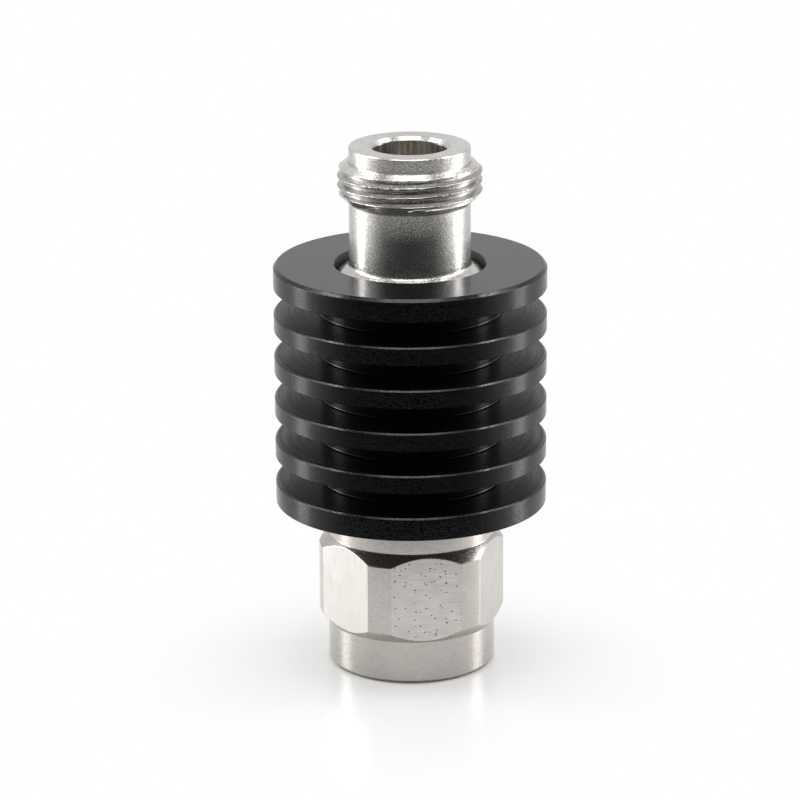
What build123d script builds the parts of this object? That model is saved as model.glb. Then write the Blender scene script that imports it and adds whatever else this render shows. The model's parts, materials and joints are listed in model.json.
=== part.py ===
from build123d import *
import math
import os

# A coaxial attenuator: a finned heat sink with a plug at one end and a jack at the other.
# Millimetres. The axis is Z. The part stands on the front face of its coupling nut, at z = 0,
# with the plug facing down and the jack facing up.

# Heat sink, turned from one bar
sink_diameter = 30.0
sink_core_diameter = 20.0
fin_count = 6
end_fin_thickness = 2.55
fin_thickness = 2.05
fin_gap = 2.74
fin_edge_chamfer = 0.3
recess_diameter = 16.6
recess_depth = 2.2
recess_edge_chamfer = 0.12
nut_to_sink_gap = 0.85

# Coupling nut, turned from round bar and milled to a hexagon
nut_ring_diameter = 18.52
nut_bar_diameter = 20.6
nut_across_flats = 19.05
nut_turn = 9.84
nut_front_ring_length = 4.85
nut_taper_length = 1.25
nut_bar_length = 7.75
nut_rear_ring_length = 2.8
nut_front_bevel = 0.4
nut_rear_bevel = 0.3
nut_countersink_diameter = 16.0
nut_thread_length = 8.5
nut_relief_diameter = 16.2
nut_shoulder_lead = 0.4
nut_running_clearance = 0.08

# The 5/8-24 coupling thread. It is cut on the jack; the nut is bored to its minor diameter.
thread_pitch = 25.4 / 24
thread_diameter = 15.8
thread_clearance = 0.06
first_groove_drop = 0.79

# Jack body
jack_projection = 13.15
jack_nose_diameter = 13.3
jack_nose_length = 1.65
jack_nose_bevel = 0.12
thread_lead_length = 0.75
thread_lead_shoulder = 0.27
jack_thread_length = 2.6
thread_exit_length = 1.25
barrel_diameter = 13.3
collar_diameter = 15.2
collar_edge_height = 1.4
collar_taper_height = 1.2
jack_boss_diameter = 13.8
jack_boss_length = 4.45
jack_boss_end_gap = 0.1

# Plug body
plug_body_diameter = 13.7
plug_body_length = 5.85
plug_body_bevel = 0.2
plug_boss_length = 6.25
plug_land_length = 3.6

# Snap ring that holds the nut on the plug body
snap_ring_offset = 2.45
snap_ring_thickness = 0.9
snap_ring_width = 0.93
snap_ring_groove_clearance = 0.07
snap_ring_opening = 2.4
snap_ring_side_clearance = 0.08
body_groove_depth = 0.5

# Coaxial line inside both ends
socket_clearance = 0.06
socket_depth = 9.1
socket_chamfer = 0.4
line_diameter = 7.0
jack_line_length = 5.8
counterbore_diameter = 9.8
plug_bead_setback = 7.0
jack_bead_length = 4.6
bead_flange_diameter = 8.8
bead_flange_length = 1.2
fit_clearance = 0.05

# Contacts
sleeve_wall = 0.5
sleeve_setback = 2.5
sleeve_foot_length = 1.0
sleeve_bevel = 0.12
centre_diameter = 3.04
neck_diameter = 2.08
pin_diameter = 1.63
pin_setback = 0.5
pin_length = 5.0
pin_tip_diameter = 0.9
pin_tip_length = 0.5
contact_setback = 4.1
contact_bore_diameter = 1.65
contact_bore_depth = 5.0
contact_slot_width = 0.3
contact_slot_depth = 4.2
contact_tip_bevel = 0.2
tab_flat_length = 1.5

# Gasket in the mouth of the plug
gasket_inset = 0.25
gasket_thickness = 1.2

# Attenuator chip, and the split carrier that clamps it
carrier_diameter = 11.9
chip_width = 9.0
chip_length = 9.6
chip_thickness = 0.8
film_thickness = 0.1
pad_width = 1.8
pad_length = 1.7
ground_stripe_width = 0.8
series_film_width = 2.4
shunt_film_height = 3.0
chip_slot_clearance = 0.05
chip_ledge_width = 0.95
chip_chamber_depth = 2.4
chip_to_contact_gap = 0.3
tab_width = 1.0
tab_thickness = 0.15
tab_pad_overlap = 1.2
tab_flat_overlap = 1.3

# Carrier screws
screw_spacing = 9.2
screw_end_distance = 1.05
screw_diameter = 1.0
screw_head_diameter = 1.8
screw_head_height = 0.7
screw_head_floor = 0.7
screw_thread_depth = 1.9
screw_slot_width = 0.25
screw_slot_depth = 0.3
screw_hole_clearance = 0.05

# Heights that follow from the sizes above, from the bottom up
nut_bar_bottom = nut_front_ring_length + nut_taper_length
nut_bar_top = nut_bar_bottom + nut_bar_length
nut_rear_ring_bottom = nut_bar_top + nut_taper_length
nut_top = nut_rear_ring_bottom + nut_rear_ring_length
sink_bottom = nut_top + nut_to_sink_gap
sink_height = 2 * end_fin_thickness + (fin_count - 2) * fin_thickness + (fin_count - 1) * fin_gap
sink_top = sink_bottom + sink_height
recess_floor = sink_top - recess_depth
jack_bottom = recess_floor - jack_boss_length

plug_front = sink_bottom - plug_body_length
plug_ledge = plug_front + plug_land_length
sleeve_foot_top = plug_ledge + sleeve_foot_length
plug_flange_top = sleeve_foot_top + bead_flange_length
plug_bead_front = sleeve_setback + plug_bead_setback
snap_ring_bottom = plug_front + snap_ring_offset
ring_groove_bottom = snap_ring_bottom - snap_ring_side_clearance
ring_groove_top = snap_ring_bottom + snap_ring_thickness + snap_ring_side_clearance

collar_edge = recess_floor + collar_edge_height
barrel_bottom = collar_edge + collar_taper_height
jack_face = sink_top + jack_projection
nose_bottom = jack_face - jack_nose_length
thread_top = nose_bottom - thread_lead_length
thread_bottom = thread_top - jack_thread_length
barrel_top = thread_bottom - thread_exit_length
jack_reference = jack_face - socket_depth
jack_ledge = jack_reference - jack_line_length
jack_flange_bottom = jack_ledge - bead_flange_length
jack_bead_front = jack_ledge + jack_bead_length

carrier_bottom = sink_bottom + plug_boss_length
carrier_top = jack_bottom - jack_boss_end_gap
carrier_length = carrier_top - carrier_bottom
chip_middle = (carrier_bottom + carrier_top) / 2
chip_bottom = chip_middle - chip_length / 2
chip_top = chip_middle + chip_length / 2
slot_bottom = chip_bottom - chip_slot_clearance
slot_top = chip_top + chip_slot_clearance

# Faces of the chip, which stands across the axis with its circuit to the front (-Y)
chip_face = chip_thickness / 2
film_face = chip_face + film_thickness
tab_face = film_face + tab_thickness

# Unified thread form: 60 degree flanks, a crest of an eighth of the pitch, a root of a quarter
flank_angle = math.radians(30)
thread_depth = 5 / 16 * math.sqrt(3) * thread_pitch
thread_root = thread_pitch / 4
thread_overcut = thread_pitch / 32

# Bores and sleeves that follow the line's diameter. The socket takes a sleeve like the plug's own.
sleeve_diameter = line_diameter + 2 * sleeve_wall
socket_diameter = sleeve_diameter + 2 * socket_clearance

circle_tolerance = 1e-6

os.makedirs("parts", exist_ok=True)


def section(*corners):
    # A closed outline of (radius, height) corners in the plane through the axis.
    with BuildSketch(Plane.XZ) as outline:
        with BuildLine():
            Polyline(*corners, close=True)
        make_face()
    return outline.sketch


def rims(part, diameter):
    # The circular edges that have this diameter.
    circles = part.edges().filter_by(GeomType.CIRCLE)
    return circles.filter_by(lambda edge: abs(edge.radius - diameter / 2) < circle_tolerance)


def thread_turn(root_diameter):
    # One turn of the groove of a right-hand outer thread as a solid, from its root outwards.
    reach = thread_depth + thread_overcut
    mouth = thread_root + 2 * reach * math.tan(flank_angle)
    with BuildPart() as turn:
        with BuildLine():
            path = Helix(thread_pitch, thread_pitch, root_diameter / 2)
        with BuildSketch(Plane(origin=path @ 0, x_dir=(1, 0, 0), z_dir=path % 0)):
            with BuildLine():
                Polyline(
                    (0, -thread_root / 2),
                    (reach, -mouth / 2),
                    (reach, mouth / 2),
                    (0, thread_root / 2),
                    close=True,
                )
            make_face()
        sweep(path=path, is_frenet=True)
    return turn.part


# Heat sink: a core with fins, bored for the plug's boss, the chip carrier and the jack's boss,
# with a recess around the jack
carrier_bore = carrier_diameter + 2 * fit_clearance
jack_boss_bore = jack_boss_diameter + 2 * fit_clearance
fins = [(sink_bottom, end_fin_thickness)]
for fin in range(fin_count - 2):
    fin_level = sink_bottom + end_fin_thickness + fin_gap + fin * (fin_thickness + fin_gap)
    fins.append((fin_level, fin_thickness))
fins.append((sink_top - end_fin_thickness, end_fin_thickness))

with BuildPart() as heat_sink:
    with BuildSketch(Plane.XZ):
        with Locations((0, sink_bottom)):
            Rectangle(sink_core_diameter / 2, sink_height, align=(Align.MIN, Align.MIN))
        for fin_level, thickness in fins:
            with Locations((0, fin_level)):
                Rectangle(sink_diameter / 2, thickness, align=(Align.MIN, Align.MIN))
    revolve(axis=Axis.Z)
    chamfer(rims(heat_sink, sink_diameter), fin_edge_chamfer)
    bores = section(
        (0, sink_bottom),
        (carrier_bore / 2, sink_bottom),
        (carrier_bore / 2, carrier_top),
        (jack_boss_bore / 2, carrier_top),
        (jack_boss_bore / 2, recess_floor),
        (recess_diameter / 2, recess_floor),
        (recess_diameter / 2, sink_top),
        (0, sink_top),
    )
    revolve(bores, axis=Axis.Z, mode=Mode.SUBTRACT)
    chamfer(rims(heat_sink, recess_diameter).sort_by(Axis.Z)[-1], recess_edge_chamfer)
heat_sink.part.label = "heat_sink"
export_step(heat_sink.part, "parts/heat_sink.step")

# Jack body: boss, collar, barrel and threaded end, with the socket for the mating plug
with BuildPart() as jack_body:
    outside = section(
        (0, jack_bottom),
        (jack_boss_diameter / 2, jack_bottom),
        (jack_boss_diameter / 2, recess_floor),
        (collar_diameter / 2, recess_floor),
        (collar_diameter / 2, collar_edge),
        (barrel_diameter / 2, barrel_bottom),
        (barrel_diameter / 2, barrel_top),
        (thread_diameter / 2, thread_bottom),
        (thread_diameter / 2, thread_top),
        (jack_nose_diameter / 2 + thread_lead_shoulder, nose_bottom),
        (jack_nose_diameter / 2, nose_bottom),
        (jack_nose_diameter / 2, jack_face),
        (0, jack_face),
    )
    revolve(outside, axis=Axis.Z)
    chamfer(jack_body.edges().sort_by(Axis.Z)[-1], jack_nose_bevel)
    inside = section(
        (0, jack_bottom),
        (counterbore_diameter / 2, jack_bottom),
        (counterbore_diameter / 2, jack_ledge),
        (line_diameter / 2, jack_ledge),
        (line_diameter / 2, jack_reference),
        (socket_diameter / 2, jack_reference),
        (socket_diameter / 2, jack_face),
        (0, jack_face),
    )
    revolve(inside, axis=Axis.Z, mode=Mode.SUBTRACT)
    chamfer(rims(jack_body, socket_diameter).sort_by(Axis.Z)[-1], socket_chamfer)
    turns_below = math.ceil((thread_top - first_groove_drop - barrel_top) / thread_pitch)
    turns_above = math.ceil((first_groove_drop + thread_lead_length) / thread_pitch)
    jack_turn = thread_turn(thread_diameter - 2 * thread_depth)
    for turn in range(-turns_below, turns_above):
        with Locations((0, 0, thread_top - first_groove_drop + turn * thread_pitch)):
            add(jack_turn, mode=Mode.SUBTRACT)
jack_body.part.label = "jack_body"
export_step(jack_body.part, "parts/jack_body.step")

# Jack insulator: a bead with a flange that the bush clamps against the body's ledge
with BuildPart() as jack_insulator:
    outline = section(
        (neck_diameter / 2 + fit_clearance, jack_flange_bottom),
        (bead_flange_diameter / 2, jack_flange_bottom),
        (bead_flange_diameter / 2, jack_ledge),
        (line_diameter / 2 - fit_clearance, jack_ledge),
        (line_diameter / 2 - fit_clearance, jack_bead_front),
        (neck_diameter / 2 + fit_clearance, jack_bead_front),
    )
    revolve(outline, axis=Axis.Z)
jack_insulator.part.label = "jack_insulator"
export_step(jack_insulator.part, "parts/jack_insulator.step")

# Jack retaining bush, pressed into the counterbore from below
with BuildPart() as jack_retaining_bush:
    outline = section(
        (line_diameter / 2, jack_bottom),
        (counterbore_diameter / 2 - fit_clearance, jack_bottom),
        (counterbore_diameter / 2 - fit_clearance, jack_ledge),
        (bead_flange_diameter / 2 + fit_clearance, jack_ledge),
        (bead_flange_diameter / 2 + fit_clearance, jack_flange_bottom),
        (line_diameter / 2, jack_flange_bottom),
    )
    revolve(outline, axis=Axis.Z)
jack_retaining_bush.part.label = "jack_retaining_bush"
export_step(jack_retaining_bush.part, "parts/jack_retaining_bush.step")

# Jack contact: a slotted socket in front, a neck through the bead, a flat for the tab behind
contact_tip = jack_face - contact_setback
contact_end = chip_top + chip_to_contact_gap

with BuildPart() as jack_contact:
    outline = section(
        (0, contact_end),
        (centre_diameter / 2, contact_end),
        (centre_diameter / 2, jack_flange_bottom),
        (neck_diameter / 2, jack_flange_bottom),
        (neck_diameter / 2, jack_bead_front),
        (centre_diameter / 2, jack_bead_front),
        (centre_diameter / 2, contact_tip),
        (contact_bore_diameter / 2, contact_tip),
        (contact_bore_diameter / 2, contact_tip - contact_bore_depth),
        (0, contact_tip - contact_bore_depth),
    )
    revolve(outline, axis=Axis.Z)
    tip_rims = jack_contact.edges().group_by(Axis.Z)[-1]
    chamfer(tip_rims, contact_tip_bevel)
    with BuildSketch(Plane.XY.offset(contact_tip)):
        with PolarLocations(0, 2, angular_range=180):
            Rectangle(2 * centre_diameter, contact_slot_width)
    extrude(amount=-contact_slot_depth, mode=Mode.SUBTRACT)
    with Locations((0, -film_face, contact_end)):
        Box(
            2 * centre_diameter,
            centre_diameter,
            tab_flat_length,
            align=(Align.CENTER, Align.MAX, Align.MIN),
            mode=Mode.SUBTRACT,
        )
jack_contact.part.label = "jack_contact"
export_step(jack_contact.part, "parts/jack_contact.step")

# Plug body: the nut turns on its front end, and its boss stands in the heat sink
plug_boss_diameter = carrier_diameter
body_groove_diameter = plug_body_diameter - 2 * body_groove_depth

with BuildPart() as plug_body:
    outline = section(
        (sleeve_diameter / 2 + fit_clearance, plug_front),
        (plug_body_diameter / 2, plug_front),
        (plug_body_diameter / 2, ring_groove_bottom),
        (body_groove_diameter / 2, ring_groove_bottom),
        (body_groove_diameter / 2, ring_groove_top),
        (plug_body_diameter / 2, ring_groove_top),
        (plug_body_diameter / 2, sink_bottom),
        (plug_boss_diameter / 2, sink_bottom),
        (plug_boss_diameter / 2, carrier_bottom),
        (counterbore_diameter / 2, carrier_bottom),
        (counterbore_diameter / 2, plug_ledge),
        (sleeve_diameter / 2 + fit_clearance, plug_ledge),
    )
    revolve(outline, axis=Axis.Z)
    chamfer(rims(plug_body, plug_body_diameter).sort_by(Axis.Z)[0], plug_body_bevel)
plug_body.part.label = "plug_body"
export_step(plug_body.part, "parts/plug_body.step")

# Plug outer contact: a sleeve with a foot behind the body's ledge
foot_diameter = counterbore_diameter - 2 * fit_clearance

with BuildPart() as plug_outer_contact:
    outline = section(
        (line_diameter / 2, sleeve_setback),
        (sleeve_diameter / 2, sleeve_setback),
        (sleeve_diameter / 2, plug_ledge),
        (foot_diameter / 2, plug_ledge),
        (foot_diameter / 2, sleeve_foot_top),
        (line_diameter / 2, sleeve_foot_top),
    )
    revolve(outline, axis=Axis.Z)
    chamfer(plug_outer_contact.edges().group_by(Axis.Z)[0], sleeve_bevel)
plug_outer_contact.part.label = "plug_outer_contact"
export_step(plug_outer_contact.part, "parts/plug_outer_contact.step")

# Plug insulator
with BuildPart() as plug_insulator:
    outline = section(
        (neck_diameter / 2 + fit_clearance, plug_bead_front),
        (line_diameter / 2 - fit_clearance, plug_bead_front),
        (line_diameter / 2 - fit_clearance, sleeve_foot_top),
        (bead_flange_diameter / 2, sleeve_foot_top),
        (bead_flange_diameter / 2, plug_flange_top),
        (neck_diameter / 2 + fit_clearance, plug_flange_top),
    )
    revolve(outline, axis=Axis.Z)
plug_insulator.part.label = "plug_insulator"
export_step(plug_insulator.part, "parts/plug_insulator.step")

# Plug retaining bush, pressed in behind the foot and the insulator's flange
with BuildPart() as plug_retaining_bush:
    outline = section(
        (bead_flange_diameter / 2 + fit_clearance, sleeve_foot_top),
        (foot_diameter / 2, sleeve_foot_top),
        (foot_diameter / 2, carrier_bottom),
        (line_diameter / 2, carrier_bottom),
        (line_diameter / 2, plug_flange_top),
        (bead_flange_diameter / 2 + fit_clearance, plug_flange_top),
    )
    revolve(outline, axis=Axis.Z)
plug_retaining_bush.part.label = "plug_retaining_bush"
export_step(plug_retaining_bush.part, "parts/plug_retaining_bush.step")

# Plug pin: a tapered tip, a shoulder in front of the bead, a flat for the tab behind
pin_tip = sleeve_setback + pin_setback
pin_shoulder = pin_tip + pin_length
pin_end = chip_bottom - chip_to_contact_gap

with BuildPart() as plug_pin:
    outline = section(
        (0, pin_tip),
        (pin_tip_diameter / 2, pin_tip),
        (pin_diameter / 2, pin_tip + pin_tip_length),
        (pin_diameter / 2, pin_shoulder),
        (centre_diameter / 2, pin_shoulder),
        (centre_diameter / 2, plug_bead_front),
        (neck_diameter / 2, plug_bead_front),
        (neck_diameter / 2, plug_flange_top),
        (centre_diameter / 2, plug_flange_top),
        (centre_diameter / 2, pin_end),
        (0, pin_end),
    )
    revolve(outline, axis=Axis.Z)
    with Locations((0, -film_face, pin_end)):
        Box(
            2 * centre_diameter,
            centre_diameter,
            tab_flat_length,
            align=(Align.CENTER, Align.MAX, Align.MAX),
            mode=Mode.SUBTRACT,
        )
plug_pin.part.label = "plug_pin"
export_step(plug_pin.part, "parts/plug_pin.step")

# Gasket around the sleeve, against the front of the plug body
gasket_diameter = plug_body_diameter - 2 * gasket_inset

with BuildPart() as plug_gasket:
    with BuildSketch(Plane.XY.offset(plug_front - gasket_thickness)):
        Circle(gasket_diameter / 2)
        Circle(sleeve_diameter / 2 + fit_clearance, mode=Mode.SUBTRACT)
    extrude(amount=gasket_thickness)
plug_gasket.part.label = "plug_gasket"
export_step(plug_gasket.part, "parts/plug_gasket.step")

# Snap ring, open at the back
snap_ring_inner_diameter = body_groove_diameter + 2 * snap_ring_groove_clearance
snap_ring_outer_diameter = snap_ring_inner_diameter + 2 * snap_ring_width

with BuildPart() as nut_snap_ring:
    with BuildSketch(Plane.XY.offset(snap_ring_bottom)):
        Circle(snap_ring_outer_diameter / 2)
        Circle(snap_ring_inner_diameter / 2, mode=Mode.SUBTRACT)
        Rectangle(
            snap_ring_opening,
            snap_ring_outer_diameter,
            align=(Align.CENTER, Align.MIN),
            mode=Mode.SUBTRACT,
        )
    extrude(amount=snap_ring_thickness)
nut_snap_ring.part.label = "nut_snap_ring"
export_step(nut_snap_ring.part, "parts/nut_snap_ring.step")

# Coupling nut: rings and tapers at both ends, a hexagon between them, a threaded mouth,
# and a rear bore that runs on the plug body with a groove for the snap ring
ring_radius = nut_ring_diameter / 2
bar_radius = nut_bar_diameter / 2
nut_thread_major = thread_diameter + 2 * thread_clearance
nut_thread_minor = nut_thread_major - 2 * thread_depth
countersink_depth = (nut_countersink_diameter - nut_thread_minor) / 2
nut_rear_bore = plug_body_diameter + 2 * nut_running_clearance
nut_groove_diameter = snap_ring_outer_diameter + 2 * nut_running_clearance
nut_shoulder = plug_front - nut_shoulder_lead

with BuildPart() as coupling_nut:
    outside = section(
        (0, 0),
        (ring_radius - nut_front_bevel, 0),
        (ring_radius, nut_front_bevel),
        (ring_radius, nut_front_ring_length),
        (bar_radius, nut_bar_bottom),
        (bar_radius, nut_bar_top),
        (ring_radius, nut_rear_ring_bottom),
        (ring_radius, nut_top - nut_rear_bevel),
        (ring_radius - nut_rear_bevel, nut_top),
        (0, nut_top),
    )
    revolve(outside, axis=Axis.Z)
    with BuildSketch(Plane.XY):
        RegularPolygon(nut_across_flats / 2, 6, major_radius=False, rotation=nut_turn)
    extrude(amount=nut_top, mode=Mode.INTERSECT)
    inside = section(
        (0, 0),
        (nut_countersink_diameter / 2, 0),
        (nut_thread_minor / 2, countersink_depth),
        (nut_thread_minor / 2, nut_thread_length),
        (nut_relief_diameter / 2, nut_thread_length),
        (nut_relief_diameter / 2, nut_shoulder),
        (nut_rear_bore / 2, nut_shoulder),
        (nut_rear_bore / 2, ring_groove_bottom),
        (nut_groove_diameter / 2, ring_groove_bottom),
        (nut_groove_diameter / 2, ring_groove_top),
        (nut_rear_bore / 2, ring_groove_top),
        (nut_rear_bore / 2, nut_top),
        (0, nut_top),
    )
    revolve(inside, axis=Axis.Z, mode=Mode.SUBTRACT)
coupling_nut.part.label = "coupling_nut"
export_step(coupling_nut.part, "parts/coupling_nut.step")

# Attenuator chip: a ceramic plate with its circuit on the front face
with BuildPart() as chip_substrate:
    with Locations((0, 0, chip_middle)):
        Box(chip_width, chip_thickness, chip_length)
chip_substrate.part.label = "chip_substrate"
export_step(chip_substrate.part, "parts/chip_substrate.step")

# Resistor film: a series strip between the end pads, crossed by a shunt strip to both edges
ground_inner_width = chip_width - 2 * ground_stripe_width

with BuildPart() as resistor_film:
    with BuildSketch(Plane.XZ.offset(chip_face)):
        with Locations((0, chip_middle)):
            Rectangle(series_film_width, chip_length - 2 * pad_length)
            Rectangle(ground_inner_width, shunt_film_height)
    extrude(amount=film_thickness)
resistor_film.part.label = "resistor_film"
export_step(resistor_film.part, "parts/resistor_film.step")

# Silver pads at the ends of the chip and stripes along its edges
with BuildPart() as chip_terminals:
    with BuildSketch(Plane.XZ.offset(chip_face)):
        with Locations((0, chip_middle)):
            with GridLocations(0, chip_length - pad_length, 1, 2):
                Rectangle(pad_width, pad_length)
            with GridLocations(chip_width - ground_stripe_width, 0, 2, 1):
                Rectangle(ground_stripe_width, chip_length)
    extrude(amount=film_thickness)
chip_terminals.part.label = "chip_terminals"
export_step(chip_terminals.part, "parts/chip_terminals.step")

# Contact strips between the chip's edge stripes and the carrier
strip_offset = (chip_width - ground_stripe_width) / 2

with BuildPart() as ground_strip_left:
    with BuildSketch(Plane.XZ.offset(film_face)):
        with Locations((-strip_offset, chip_middle)):
            Rectangle(ground_stripe_width, chip_length)
    extrude(amount=tab_thickness)
ground_strip_left.part.label = "ground_strip_left"
export_step(ground_strip_left.part, "parts/ground_strip_left.step")

with BuildPart() as ground_strip_right:
    with BuildSketch(Plane.XZ.offset(film_face)):
        with Locations((strip_offset, chip_middle)):
            Rectangle(ground_stripe_width, chip_length)
    extrude(amount=tab_thickness)
ground_strip_right.part.label = "ground_strip_right"
export_step(ground_strip_right.part, "parts/ground_strip_right.step")

# Tabs that bridge from the flat of each centre contact to the chip's pads
tab_length = tab_flat_overlap + chip_to_contact_gap + tab_pad_overlap

with BuildPart() as input_tab:
    with BuildSketch(Plane.XZ.offset(film_face)):
        with Locations((0, pin_end - tab_flat_overlap)):
            Rectangle(tab_width, tab_length, align=(Align.CENTER, Align.MIN))
    extrude(amount=tab_thickness)
input_tab.part.label = "input_tab"
export_step(input_tab.part, "parts/input_tab.step")

with BuildPart() as output_tab:
    with BuildSketch(Plane.XZ.offset(film_face)):
        with Locations((0, contact_end + tab_flat_overlap)):
            Rectangle(tab_width, tab_length, align=(Align.CENTER, Align.MAX))
    extrude(amount=tab_thickness)
output_tab.part.label = "output_tab"
export_step(output_tab.part, "parts/output_tab.step")

# Carrier: two half cylinders that meet in the plane of the axis and clamp the chip between them
chip_slot_width = chip_width + 2 * chip_slot_clearance
chip_slot_length = slot_top - slot_bottom
end_bore_length = slot_bottom - carrier_bottom
screw_rows = carrier_length - 2 * screw_end_distance
screw_hole_radius = screw_diameter / 2 + screw_hole_clearance
screw_head_hole_radius = screw_head_diameter / 2 + screw_hole_clearance


def carrier_blank(cut_side):
    # Half of the carrier's cylinder with the line's bore at both ends. cut_side is the side
    # of the axis, in terms of Align, on which the other half lies.
    with BuildPart() as blank:
        with BuildSketch(Plane.XY.offset(carrier_bottom)):
            Circle(carrier_diameter / 2)
            Rectangle(
                carrier_diameter,
                carrier_diameter,
                align=(Align.CENTER, cut_side),
                mode=Mode.SUBTRACT,
            )
        extrude(amount=carrier_length)
        with Locations((0, 0, carrier_bottom), (0, 0, slot_top)):
            Cylinder(
                line_diameter / 2,
                end_bore_length,
                align=(Align.CENTER, Align.CENTER, Align.MIN),
                mode=Mode.SUBTRACT,
            )
    return blank.part


with BuildPart() as carrier_rear:
    add(carrier_blank(Align.MAX))
    with Locations((0, 0, chip_middle)):
        Box(
            chip_slot_width,
            chip_face,
            chip_slot_length,
            align=(Align.CENTER, Align.MIN, Align.CENTER),
            mode=Mode.SUBTRACT,
        )
    with BuildSketch(Plane.XZ):
        with Locations((0, chip_middle)):
            with GridLocations(screw_spacing, screw_rows, 2, 2):
                Circle(screw_hole_radius)
    extrude(amount=-(screw_thread_depth + screw_hole_clearance), mode=Mode.SUBTRACT)
carrier_rear.part.label = "carrier_rear"
export_step(carrier_rear.part, "parts/carrier_rear.step")

with BuildPart() as carrier_front:
    add(carrier_blank(Align.MIN))
    with Locations((0, 0, chip_middle)):
        Box(
            chip_slot_width,
            tab_face,
            chip_slot_length,
            align=(Align.CENTER, Align.MAX, Align.CENTER),
            mode=Mode.SUBTRACT,
        )
        Box(
            chip_slot_width - 2 * chip_ledge_width,
            chip_chamber_depth,
            chip_slot_length,
            align=(Align.CENTER, Align.MAX, Align.CENTER),
            mode=Mode.SUBTRACT,
        )
    with BuildSketch(Plane.XZ):
        with Locations((0, chip_middle)):
            with GridLocations(screw_spacing, screw_rows, 2, 2):
                Circle(screw_hole_radius)
    extrude(amount=carrier_diameter / 2, mode=Mode.SUBTRACT)
    with BuildSketch(Plane.XZ.offset(screw_head_floor)):
        with Locations((0, chip_middle)):
            with GridLocations(screw_spacing, screw_rows, 2, 2):
                Circle(screw_head_hole_radius)
    extrude(amount=carrier_diameter / 2, mode=Mode.SUBTRACT)
carrier_front.part.label = "carrier_front"
export_step(carrier_front.part, "parts/carrier_front.step")

# Four slotted screws that draw the halves together
with BuildPart() as carrier_screws:
    with BuildSketch(Plane.XZ.offset(screw_head_floor)):
        with Locations((0, chip_middle)):
            with GridLocations(screw_spacing, screw_rows, 2, 2):
                Circle(screw_head_diameter / 2)
    extrude(amount=screw_head_height)
    with BuildSketch(Plane.XZ.offset(screw_head_floor)):
        with Locations((0, chip_middle)):
            with GridLocations(screw_spacing, screw_rows, 2, 2):
                Circle(screw_diameter / 2)
    extrude(amount=-(screw_head_floor + screw_thread_depth))
    with BuildSketch(Plane.XZ.offset(screw_head_floor + screw_head_height)):
        with Locations((0, chip_middle)):
            with GridLocations(screw_spacing, screw_rows, 2, 2):
                Rectangle(screw_head_diameter, screw_slot_width)
    extrude(amount=-screw_slot_depth, mode=Mode.SUBTRACT)
carrier_screws.part.label = "carrier_screws"
export_step(carrier_screws.part, "parts/carrier_screws.step")
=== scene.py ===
import bmesh
import bpy
import json
import math
from mathutils import Matrix, Vector, noise


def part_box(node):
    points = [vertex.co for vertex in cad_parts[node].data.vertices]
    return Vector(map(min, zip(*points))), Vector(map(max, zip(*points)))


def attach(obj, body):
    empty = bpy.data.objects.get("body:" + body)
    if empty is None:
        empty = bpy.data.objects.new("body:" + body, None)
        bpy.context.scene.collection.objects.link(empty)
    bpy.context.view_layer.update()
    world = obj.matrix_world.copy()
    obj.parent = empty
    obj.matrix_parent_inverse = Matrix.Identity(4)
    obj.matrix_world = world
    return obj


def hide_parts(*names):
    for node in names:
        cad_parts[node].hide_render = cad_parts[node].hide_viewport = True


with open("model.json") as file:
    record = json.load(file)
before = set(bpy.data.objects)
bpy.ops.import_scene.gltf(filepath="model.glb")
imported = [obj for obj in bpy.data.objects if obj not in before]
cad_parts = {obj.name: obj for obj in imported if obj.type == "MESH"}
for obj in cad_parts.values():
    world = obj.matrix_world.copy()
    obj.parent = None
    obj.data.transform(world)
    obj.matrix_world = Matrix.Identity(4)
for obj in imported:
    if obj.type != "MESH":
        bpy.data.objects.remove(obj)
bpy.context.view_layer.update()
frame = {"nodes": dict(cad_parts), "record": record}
scene = bpy.context.scene
mm = 0.001                # the frame is in metres, the sizes in this file are in millimetres
print("frame loaded")


def nodeBox(name):        # a solid's lowest and highest corner, in millimetres
    low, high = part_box(name)
    return low / mm, high / mm


# Materials
def hexColour(code):
    # sRGB hex to the linear colour that the shaders take
    parts = [int(code[i:i + 2], 16) / 255 for i in (1, 3, 5)]
    return [c / 12.92 if c <= 0.04045 else ((c + 0.055) / 1.055) ** 2.4 for c in parts] + [1.0]


def addNode(tree, kind, settings, inputs, out=0):
    # Adds one node and gives back one of its outputs. "inputs" goes by name or number, and takes a value
    # or another node's output. Map Range has its value at 0, the range this comes from at 1 and 2, and the
    # range it goes to at 3 and 4. Mix has its factor at 0, numbers at 2 and 3, and colours at 6 and 7.
    node = tree.nodes.new(kind)
    for key, value in settings.items():
        setattr(node, key, value)
    for key, value in inputs.items():
        if isinstance(value, bpy.types.NodeSocket):
            tree.links.new(value, node.inputs[key])
        else:
            node.inputs[key].default_value = value
    return node.outputs[out] if node.outputs else None


def newMaterial(name):
    # An empty material, and each point's place on the part in millimetres
    material = bpy.data.materials.new(name)
    material.use_nodes = True
    tree = material.node_tree
    tree.nodes.clear()
    place = addNode(tree, "ShaderNodeTexCoord", {}, {}, "Object")
    place = addNode(tree, "ShaderNodeVectorMath", {"operation": "SCALE"}, {"Vector": place, "Scale": 1 / mm})
    return material, tree, place


def aroundAxis(tree, place):
    # (distance from the axis, height): a pattern of this is the same all the way round, as lathe marks are
    parts = addNode(tree, "ShaderNodeSeparateXYZ", {}, {0: place}).node.outputs
    flat = addNode(tree, "ShaderNodeCombineXYZ", {}, {0: parts[0], 1: parts[1]})
    radius = addNode(tree, "ShaderNodeVectorMath", {"operation": "LENGTH"}, {0: flat}, "Value")
    return addNode(tree, "ShaderNodeCombineXYZ", {}, {0: radius, 1: parts[2]})


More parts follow.
